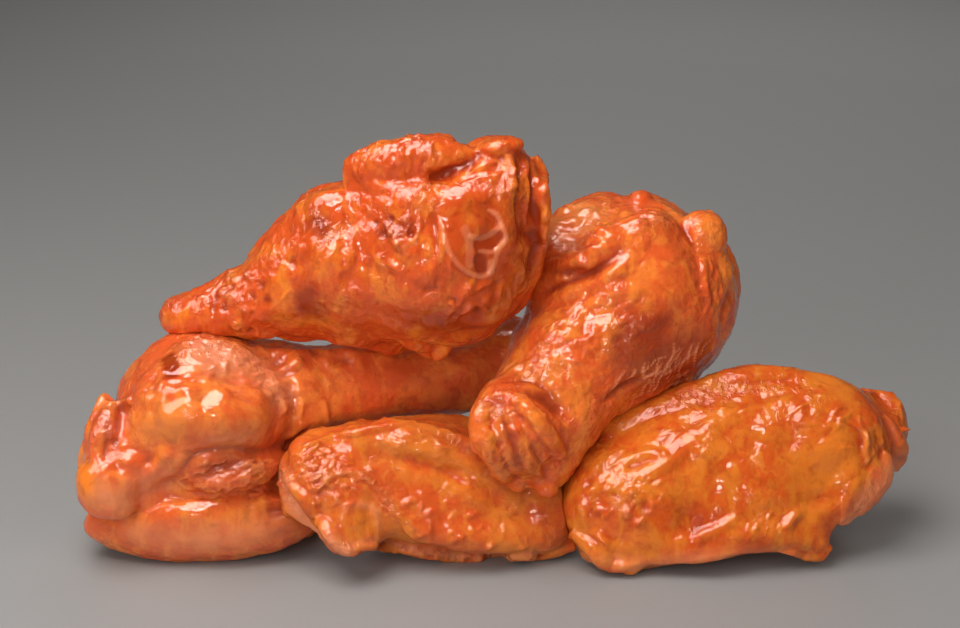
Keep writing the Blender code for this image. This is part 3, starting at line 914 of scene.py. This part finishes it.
# %% The knuckle: two ridges with a deep fold between them
w.crease([(4.5, -19), (5, -24.5), (7.5, -30), (10, -37)], 2.8, -1.1, dark=0.7)
w.stroke([(10, -18), (15, -19.5), (19, -23.5)], 2.6, -1.5, dark=0.7)
w.paint([(10.5, -21.5), (14.5, -25.5), (17.5, -30.5)], 3, warm=0.7)
w.crease([(11, -28), (13, -32.5), (15.5, -37)], 2, -0.8, dark=0.6)
w.wrinkles([(1.5, -26.5), (4.5, -32.5), (8.5, -38)], 2.6, 24, 2.8, 60, 0.3, 0.7)
w.paint([(3, -25.5), (6.5, -33.5), (12.5, -38)], 7, dark=0.4)
w.paint([(1.5, -20), (3, -21), (5, -20)], 5, skin=0.7)
w.wrinkles([(1.5, -21), (4.5, -20), (9, -20.5)], 2.8, 30, 2.2, 30, 0.5, 0.7, skin=0.1)
w.wrinkles([(4.5, -29), (9, -33.5), (15, -36)], 3.4, 26, 2.8, -60, 0.5, 0.9)
w.wrinkles([(13, -24.5), (16.5, -29)], 2.8, 12, 3, -50, 0.4, 1)
w.dots([(7.5, -27, 1.8, 0.8), (12.5, -29, 1.8, 0.8), (9, -32.5, 1.8, 0.8), (15, -33, 1.8, 0.8)], skin=0.2)
w.finish("sauce", grain=(1.5, 1, 1), turn=(0, -28, 44))

# %% [markdown]
# ## The top drumette
#
# This drumette lies across the others, with its bone end to the left. A roll of loose skin lies on
# top of it, and on its face the sauce has dried round a blister, in a film with pale folds.

# %% Its masses and first skin
w = Wing("wing_top", "drumette_top")
w.egg((-8.5, -8.5), (1.6, 1.6, 3), turn=-40, raised=1)
w.egg((4.5, 38.5), (5.5, 4, 2.2), turn=8, raised=0.2)
w.roll([(12.5, 36.5), (14, 31), (14.5, 23), (14, 16)], (1.6, 2, 1.4), 0.2)
w.roll([(-29, 30), (-23, 29.5), (-16.5, 29.5)], (2, 3.2, 2), -1.9)
w.roll([(6, 37.5), (7, 32.5), (7.5, 27)], (1.2, 1.5, 0.9), 0.3)
w.skin_over(grid=0.4, passes=4, lumps=8, height=1.3, skin=0.45, warm=-0.18, dark=0.08)

# %% The roll of skin on top, and the shadow line under it
w.crease([(-12, 31), (-7.5, 32.5), (-3, 34.5), (0, 37.5)], 2.6, -2.4, dark=0.7)
w.crease([(-30, 32.5), (-28.5, 30.5), (-26, 29)], 2, -0.8, dark=0.4)
w.stroke([(-30, 28), (-24, 27.5), (-18.5, 28), (-12.5, 29)], 5, 0.7)
w.stroke([(-26.5, 38)], 1.2, -1.2, dark=0.6)

# %% Upper right lobe, with upright ridges
w.crease([(-4, 32), (-0.5, 33.5), (3.5, 35), (6, 34)], 1.5, 0.9)
w.crease([(-3, 30), (0.5, 31.5), (4, 32)], 1.3, 0.8)
w.crease([(5.5, 33.5), (5.5, 29.5), (4.5, 25.5)], 1.2, 0.8)
w.crease([(9, 36), (9, 31), (8.5, 25), (9, 18)], 1.6, -0.8, dark=0.3)
w.crease([(11.5, 37.5), (12, 32), (12, 26.5), (13, 20.5)], 1.5, -1, dark=0.5)
w.crease([(10, 35.5), (11, 28.5), (10.5, 21.5)], 1.4, 0.9, warm=0.3)
w.stroke([(9.5, 19), (12, 17.5), (13, 15), (11.5, 10.5)], 2.2, -1.3, dark=0.5)
w.stroke([(7.5, 12), (9.5, 10), (8, 5)], 2.4, 1)
w.stroke([(-19.5, 25.5), (-9, 26.5), (3.5, 28.5)], 6, 1.8)

# %% A blister of sauce: an orange bump, two dark red cells, and a film that is folded into pale lines
w.stroke([(-2.5, 19.5), (0.5, 14.5)], 8.5, 0.2, "flat", fade=False, skin=-0.8, dark=0.3)
w.stroke([(0, 21)], 3.6, 0.8, warm=0.4)
w.stroke([(-6.5, 16), (-5, 13.5)], 2.4, 0.2, warm=0.5)
w.stroke([(0.5, 16), (3.5, 17)], 2.4, -0.4, "flat", fade=False, dark=0.9)
w.stroke([(0, 12.5), (0.5, 10.5)], 1.9, -0.4, "flat", fade=False, dark=0.95)
w.stroke([(-3.5, 19.5), (-2.5, 16), (-2.5, 11.5)], 1.2, 0.1, "flat", fade=False, pale=0.5)
w.stroke([(-2.5, 18), (0, 17.5), (2.5, 18.5), (5, 20.5)], 0.8, 0.15, "flat", fade=False, pale=0.55)
w.stroke([(-9, 21), (-8, 17), (-6.5, 13.5), (-4, 10.5), (-1, 9), (1.5, 9), (3, 11), (4, 14.5), (6, 17.5),
          (5, 20.5), (4, 23), (2, 24)], 0.7, 0.2, "flat", fade=False, pale=0.6, dark=-0.2)
w.stroke([(0, 14.5), (3, 14.5), (5.5, 17)], 0.6, 0.15, "flat", fade=False, pale=0.6)
w.stroke([(2.5, 12), (2.5, 9.5)], 1, 0.2, "flat", fade=False, pale=0.6)
w.crease([(-7, 12), (-4.5, 10), (-2, 8.5)], 0.9, -0.5, dark=0.5)
w.stroke([(-6.5, 2.5), (-4.5, 0.5), (-2.5, 2), (-0.5, 2.5), (1.5, 0.5)], 1, 0.9, fade=False)
w.paint([(-4, -2), (2.5, -2.5), (8, 0.5), (11.5, 5)], 4.5, dark=0.3)
w.stroke([(12, 26.5), (13, 19.5), (12.5, 12), (10.5, 6)], 2.6, -0.4, dark=0.6)

# %% Pitted patch in the middle
w.dots([
    (-22.5, 18.5, 2, -0.9), (-24, 21, 1.5, -0.7), (-20.5, 22, 1.5, -0.9), (-19, 16, 1.8, 1.2),
    (-17, 21.5, 1.6, 1), (-21, 24.5, 1.7, 0.9), (-16, 18.5, 1.6, -1), (-25, 23.5, 1.6, 0.8),
    (-20.5, 19, 1.6, 1), (-17.5, 24.5, 1.3, -0.8)
], skin=0.4, pit=0.35)
w.stroke([(-15, 24.5), (-14, 21), (-14.5, 17.5), (-16.5, 16)], 0.9, 0.8, skin=0.3)
w.stroke([(-26.5, 18), (-25, 14), (-22.5, 11), (-18, 9)], 3, 0.5, "shelf", dark=0.1)
w.stroke([(-40, 23), (-34, 26), (-27, 26.5)], 6.5, 2.2, skin=-0.1)
w.stroke([(-38.5, 21), (-32.5, 21.5), (-26, 21)], 4.5, 0.6)
w.stroke([(-20.5, 12), (-18.5, 10)], 2, 1)
w.crease([(-15.5, 7), (-13, 5.5), (-9.5, 6)], 2, -0.6, dark=0.4)
w.stroke([(-11.5, 15), (-10.5, 12), (-11.5, 9)], 1.6, 0.8)
w.stroke([(-10, 25), (-10.5, 20.5), (-10, 16), (-11, 12)], 1.6, -0.8, warm=0.3)

# %% Lower right: glossy bumps
w.dots([
    (-2.5, 6, 2.2, 1.1), (1.5, 3, 2.5, 1), (4, 7, 2.2, -0.9), (-3, 1.5, 2.4, 1), (-6.5, 3, 2, -0.9),
    (-0.5, 0.5, 2, -0.7), (6, 2, 2.6, 0.9), (9, 15, 2, 0.9)
])
w.stroke([(-6, -0.5), (-1, -2), (4.5, -0.5), (9.5, 3)], 2.6, 1, skin=-0.3)

# %% Left shoulder: dark dimples between lumps
w.dots([
    (-40.5, 20, 2.6, -0.7), (-43, 23, 1.8, -0.6), (-41.5, 15.5, 1.8, 0.6), (-43.5, 12, 2.2, -0.5)
], pit=0.4)
w.stroke([(-40, 3.5), (-39.5, 1)], 5.6, -0.6, fade=False, dark=1.1, warm=-1, skin=-0.3)
w.stroke([(-38, 25), (-36.5, 21), (-35, 17.5)], 4, -0.4, dark=0.9, warm=-0.5)
w.paint([(-23.5, 20), (-19.5, 19.5), (-15, 21)], 4, dark=0.6)
w.wrinkles([(-41.5, 20.5), (-44, 12), (-45, 6.5)], 4, 26, 3, 75, 0.4, 0.7, skin=0.1)
w.paint([(4.5, 25), (9.5, 15), (4.5, 2), (-7, -1.5)], 10, fade=False, warm=-1.2, dark=0.3, skin=-0.2)
w.stroke([(-18.5, -7), (-14.5, -7.5), (-10, -8)], 3, 1.2)

# %% Bone end, wrinkled where the meat has drawn back
w.dots([
    (-56.5, 7.5, 2.4, 1.2), (-53.5, 9, 2, 1.1), (-57, 3.5, 2.6, 1.2), (-54.5, 1, 2.2, 1),
    (-52.5, 4, 2, -0.5), (-59, 1.5, 2, -0.5), (-50.5, -1, 2.4, 1), (-56, -3, 2.2, 0.9),
    (-50.5, 7, 2.2, -0.5), (-60, 5, 1.8, 0.8), (-53, -4, 1.8, -0.8), (-49, 3, 2.2, -0.8)
], skin=0.3, pit=0.25)
w.stroke([(-59.5, 7), (-61.5, 3), (-61, -1.5)], 1.8, -0.9, dark=0.3)
w.stroke([(-50.5, -4.5), (-41.5, -6), (-31, -6.5), (-19.5, -8.5), (-11.5, -9)], 2.6, 0.8, fade=False)
# Painted shade on the underside of the drumette, where it lies on the others.
w.paint([(-21, -3), (-14, -1.5), (-2.5, -3.5)], 7, dark=0.5, warm=-0.5)
w.wrinkles([(-24, 25), (-19.5, 20.5), (-15.5, 17)], 3.6, 26, 2.4, 70, 0.6, 0.8, skin=0.2)
w.wrinkles([(-23, 32.5), (-16, 33), (-9, 35.5)], 2.4, 24, 3, 75, 0.45, 0.8)
w.wrinkles([(-27, 36), (-18.5, 38), (-9, 39)], 3.5, 40, 2.4, 70, 0.45, 0.7)
w.wrinkles([(-32.5, 19.5), (-31, 10), (-25.5, 3)], 5, 22, 4.2, 85, 0.45, 1.1)
w.wrinkles([(-56.5, 6.5), (-54, 3), (-51, 0)], 4, 30, 2.4, 40, 0.6, 0.8, skin=0.15)
w.wrinkles([(-12.5, 25), (-11.5, 17), (-9, 8)], 4, 18, 4, 85, 0.45, 1)
w.wrinkles([(-3, 33), (4.5, 33), (8, 29.5)], 2.4, 16, 3.2, 30, 0.5, 0.9)
w.wrinkles([(10, 35.5), (12.5, 26.5), (12.5, 17)], 3.6, 34, 2.2, 80, 0.6, 0.8)
w.wrinkles([(-6, 3), (1, 3), (8, 5.5)], 3.4, 20, 3, 50, 0.6, 1.1, skin=-0.1)
w.wrinkles([(-64.5, 3.5), (-61, -1)], 3, 12, 2.6, 30, 0.4, 0.8)

# %% Yellow, thinly sauced places
w.paint([(-48, -1), (-41.5, -2), (-34, -1)], 5, warm=0.8)
w.paint([(-37.5, 12), (-34.5, 7.5)], 3.5, warm=0.7)
w.paint([(-31, 5.5), (-27.5, -1.5), (-23, -5)], 4.5, warm=0.4)
w.paint([(-8.5, -7), (-9.5, -10)], 2.6, warm=0.9)
w.stroke([(-19.5, 28.5), (-9, 29), (-2.5, 27.5)], 2, 0.5, skin=0.5, warm=0.5)
w.finish("sauce", grain=(1, 1, 1.5), turn=(0, -15, 0))

# %% [markdown]
# ## Sauce
#
# The sauce is a wet layer over fried skin. Its colour runs from yellow-orange, where it is thin, to
# deep red-brown, where it has pooled in a crease. The same red-brown is also painted as shade into
# hollows and recesses, and a milky pale is painted on as sheen. Light enters it and comes out nearby,
# so it glows a little, which is subsurface scattering. Its wet surface gives sharp highlights, a little
# warm in colour. Two materials share one node group, because only their colours and their shine differ.

# %% Node helpers
def new_material(name):
    material = bpy.data.materials.new(name)
    material.use_nodes = True
    return material, material.node_tree.nodes["Principled BSDF"]


class Nodes:
    """Short ways to add nodes to one tree."""

    def __init__(self, tree):
        self.tree = tree

    def add(self, kind, **settings):
        return setup(self.tree.nodes.new(kind), **settings)

    def feed(self, target, source):
        """Sets a socket to a value, or links it to another socket."""
        if isinstance(source, bpy.types.NodeSocket):
            self.tree.links.new(source, target)
        else:
            target.default_value = source

    def maths(self, operation, first, second, clamp=False):
        made = self.add("ShaderNodeMath", operation=operation, use_clamp=clamp)
        self.feed(made.inputs[0], first)
        self.feed(made.inputs[1], second)
        return made.outputs[0]

    def total(self, first, *others, clamp=False):
        """The sum of the sources, kept between 0 and 1 if it is clamped."""
        for count, source in enumerate(others, 1):
            first = self.maths("ADD", first, source, clamp and count == len(others))
        return first

    def product(self, first, second, clamp=False):
        return self.maths("MULTIPLY", first, second, clamp)

    def blend(self, share, first, second):
        made = self.add("ShaderNodeMix", data_type="RGBA")
        self.feed(made.inputs["Factor"], share)
        self.feed(made.inputs[6], first)
        self.feed(made.inputs[7], second)
        return made.outputs[2]

    def spread(self, source, low, high, out_low=0.0, out_high=1.0):
        """Stretches the part of a value between low and high over a new range."""
        made = self.add("ShaderNodeMapRange", interpolation_type="SMOOTHSTEP")
        for name, value in zip(("Value", "From Min", "From Max", "To Min", "To Max"),
                               (source, low, high, out_low, out_high)):
            self.feed(made.inputs[name], value)
        return made.outputs["Result"]

    def noise(self, where, size, detail=3.0, twist=0.0, **settings):
        """Noise whose lumps are about size mm."""
        made = self.add("ShaderNodeTexNoise", **settings)
        self.feed(made.inputs["Vector"], where)
        made.inputs["Scale"].default_value = 1 / (size * MM)
        made.inputs["Detail"].default_value = detail
        made.inputs["Distortion"].default_value = twist
        return made.outputs["Fac"]


# %% A node group for the colour of the sauce, shared by both materials
colour_group = bpy.data.node_groups.new("sauce_colour", "ShaderNodeTree")
COLOURS = ("Sauce", "Thin sauce", "Pooled sauce and painted shade", "Bare skin", "Milky film and painted sheen")
for title in COLOURS:
    colour_group.interface.new_socket(title, in_out="INPUT", socket_type="NodeSocketColor")
for title, kind in (("Colour", "Color"), ("Height", "Float"), ("Roughness", "Float")):
    colour_group.interface.new_socket(title, in_out="OUTPUT", socket_type="NodeSocket" + kind)
g = Nodes(colour_group)
sauce, thin_sauce, pooled_sauce_and_shade, bare_skin, film_and_sheen_colour = list(g.add("NodeGroupInput").outputs)[:5]
outlet = g.add("NodeGroupOutput")

# %% Painted layers and noises
where = g.add("ShaderNodeTexCoord").outputs["Object"]
runs = g.add("ShaderNodeMapping")
runs.inputs["Scale"].default_value = (1, 1, 0.3)   # stretches the streaks downwards
g.feed(runs.inputs["Vector"], where)
skin, warm, dark, pale, hollow, deep, pool = (
    g.add("ShaderNodeAttribute", attribute_name=name).outputs["Fac"]
    for name in (*LAYERS, "hollow", "deep", "pool")
)
broad = g.noise(where, 9, twist=0.5)
middle = g.noise(where, 3.5, 4, twist=0.8)
streak = g.noise(runs.outputs["Vector"], 2.6, twist=0.5)
fine = g.noise(where, 0.9)

# %% Thin sauce: painted places, streaks where it ran off, and ridges; less in deep recesses, which keeps them red as painted shade
thinness = g.total(
    warm, g.spread(broad, 0.42, 0.62, -0.20, 0.50), g.spread(streak, 0.48, 0.66, -0.05, 0.55),
    g.spread(fine, 0.35, 0.7, -0.12, 0.12), g.spread(hollow, 0.45, 0.8, 0.15, -0.5),
    g.spread(deep, 0.5, 0.85, 0.0, -0.5), clamp=True
)
colour = g.blend(thinness, sauce, thin_sauce)

# %% Pooled sauce in creases and stains, and painted shade in the hollows, between lumps and between wings
depth = g.total(
    dark, g.spread(middle, 0.50, 0.70, 0.0, 0.33), g.spread(skin, 0.35, 0.9, 0.0, 0.28),
    g.product(pool, 0.30), g.spread(hollow, 0.58, 0.90, 0.0, 0.28),
    g.spread(deep, 0.55, 0.95, 0.0, 0.35), clamp=True
)
colour = g.blend(g.product(depth, 0.85), colour, pooled_sauce_and_shade)

# %% Bare skin, pale on the ridges that no thick sauce covers, then dark specks, then milky film and painted sheen
bare = g.product(g.spread(skin, 0.5, 1.0, 0.0, 0.4), g.spread(hollow, 0.35, 0.6, 1.0, 0.0))
colour = g.blend(bare, colour, bare_skin)
specks = g.spread(g.noise(where, 0.8, 1), 0.66, 0.74, 0.0, 0.25)
colour = g.blend(specks, colour, pooled_sauce_and_shade)
# The pale layer gives milky film and also painted sheen: glints, broad highlights and the table's
# reflection.
film = g.product(pale, g.spread(broad, 0.3, 0.6, 0.6, 1.0), clamp=True)
g.feed(outlet.inputs["Colour"], g.blend(film, colour, film_and_sheen_colour))

# %% Drops and lumps of sauce, and fine wrinkles where the skin is bare
crinkled = g.spread(skin, 0.25, 0.8)
drops = g.product(g.spread(g.noise(where, 2.4, twist=0.6), 0.52, 0.66, 0.0, 0.42),
                  g.spread(skin, 0.1, 0.5, 0.15, 1.0))
beads = g.product(g.spread(g.noise(where, 1.1, 2), 0.52, 0.68), crinkled)
wrinkles = g.product(g.noise(where, 1.6, noise_type="RIDGED_MULTIFRACTAL"), crinkled)
sparkle = g.product(g.noise(where, 0.7, 2), g.total(g.product(crinkled, 0.18), 0.10))
bumps = g.total(g.product(wrinkles, 0.5), g.product(beads, 0.5), drops, sparkle)
g.feed(outlet.inputs["Height"], bumps)

# %% The wettest skin is the smoothest
gloss = g.total(g.spread(skin, 0.3, 1.0, 0.08, 0.24), g.spread(fine, 0.5, 0.8, 0.0, 0.10),
                g.spread(pale, 0.2, 1.0, 0.0, 0.12))
g.feed(outlet.inputs["Roughness"], gloss)
print("the colour of the sauce takes", len(colour_group.nodes), "nodes")


# %% The two sauces
def sauce_material(name, shine, *colours):
    """The shine is the strength of the highlights; the colours are in the order of COLOURS."""
    material, shader = new_material(name)
    m = Nodes(material.node_tree)
    layers = m.add("ShaderNodeGroup", node_tree=colour_group)
    for socket, colour in zip(layers.inputs, colours):
        socket.default_value = (*colour, 1)
    bump = m.add("ShaderNodeBump")
    for target, source in (
        (bump.inputs["Strength"], 0.9),
        (bump.inputs["Distance"], 0.3 * MM),
        (bump.inputs["Height"], layers.outputs["Height"]),
        (shader.inputs["Normal"], bump.outputs["Normal"]),
        (shader.inputs["Base Color"], layers.outputs["Colour"]),
        (shader.inputs["Roughness"], layers.outputs["Roughness"]),
        (shader.inputs["Subsurface Weight"], 0.5),
        (shader.inputs["Subsurface Radius"], (1, 0.35, 0.12)),
        (shader.inputs["Subsurface Scale"], 1.2 * MM),
        (shader.inputs["Specular IOR Level"], shine),
        (shader.inputs["Specular Tint"], (1, 0.79, 0.74, 1)),
    ):
        m.feed(target, source)
    return material


# Of these colours, the pooled one also serves as painted shade, and the film one as painted sheen.
FILM_AND_SHEEN = (0.70, 0.235, 0.105)
thick = sauce_material("thick_sauce", 0.58, (0.69, 0.096, 0.015), (0.81, 0.212, 0.025),
                       (0.27, 0.024, 0.004), (0.76, 0.27, 0.100), FILM_AND_SHEEN)
thin = sauce_material("thin_sauce", 0.43, (0.60, 0.085, 0.012), (0.67, 0.180, 0.019),
                      (0.30, 0.029, 0.005), (0.70, 0.26, 0.100), FILM_AND_SHEEN)
for name, material in (("wing_top", thick), ("wing_left", thick), ("wing_right", thick),
                       ("wing_front", thin), ("wing_corner", thin)):
    coated = bpy.data.objects[name].data.materials
    coated.clear()
    coated.append(material)

# %% [markdown]
# ## Table and light
#
# The pile stands on a pale table. Wet sauce shows a lamp twice: as light on its colour, and as a
# bright spot of the lamp's own shape. So the lamps are of two kinds: some show in the wet surface
# alone, small or broad as the bright spots are, and the others only light the colour.

# %% Table
bpy.ops.mesh.primitive_plane_add(size=3)
table = bpy.context.object
table.name = "table"
table_material, table_shader = new_material("pale_table")
table_shader.inputs["Base Color"].default_value = (0.26, 0.256, 0.25, 1)
table_shader.inputs["Roughness"].default_value = 0.55
table.data.materials.append(table_material)

# %% Lights
DAYLIGHT = (1.0, 0.98, 0.96)


def soft_box(name, place, size, power, gloss=False, colour=DAYLIGHT):
    """A soft box, its size in metres. One for gloss shows in the wet sauce and nowhere else."""
    bpy.ops.object.light_add(type="AREA", location=place)
    light = setup(bpy.context.object, name=name, visible_glossy=gloss, visible_diffuse=not gloss)
    face_aim(light)
    setup(light.data, shape="RECTANGLE", size=size[0], size_y=size[1], energy=power, color=colour)


soft_box("overhead", (-0.14, -0.05, 0.49), (0.42, 0.28), 4.4, gloss=True)
soft_box("key", (-0.12, -0.36, 0.44), (0.16, 0.10), 1.0, gloss=True)
soft_box("left_top", (-0.36, -0.10, 0.36), (0.28, 0.26), 1.5, gloss=True)
soft_box("glints", (-0.12, -0.56, 0.16), (0.06, 0.04), 0.5, gloss=True)
soft_box("top_fill", (-0.16, -0.16, 0.50), (0.40, 0.36), 2.8)
soft_box("front_fill", (-0.30, -0.60, 0.26), (0.60, 0.36), 2.5)
soft_box("right_fill", (0.30, -0.34, 0.36), (0.30, 0.30), 0.6, colour=(1.0, 0.97, 0.94))
soft_box("back_fill", (0.10, 0.60, 0.36), (0.50, 0.40), 1.1)
world = bpy.data.worlds.new("studio")
bpy.context.scene.world = world
world.use_nodes = True
room = world.node_tree.nodes["Background"]
room.inputs["Color"].default_value = (1.0, 0.99, 0.97, 1)
room.inputs["Strength"].default_value = 0.05
bpy.context.scene.view_settings.view_transform = "Standard"
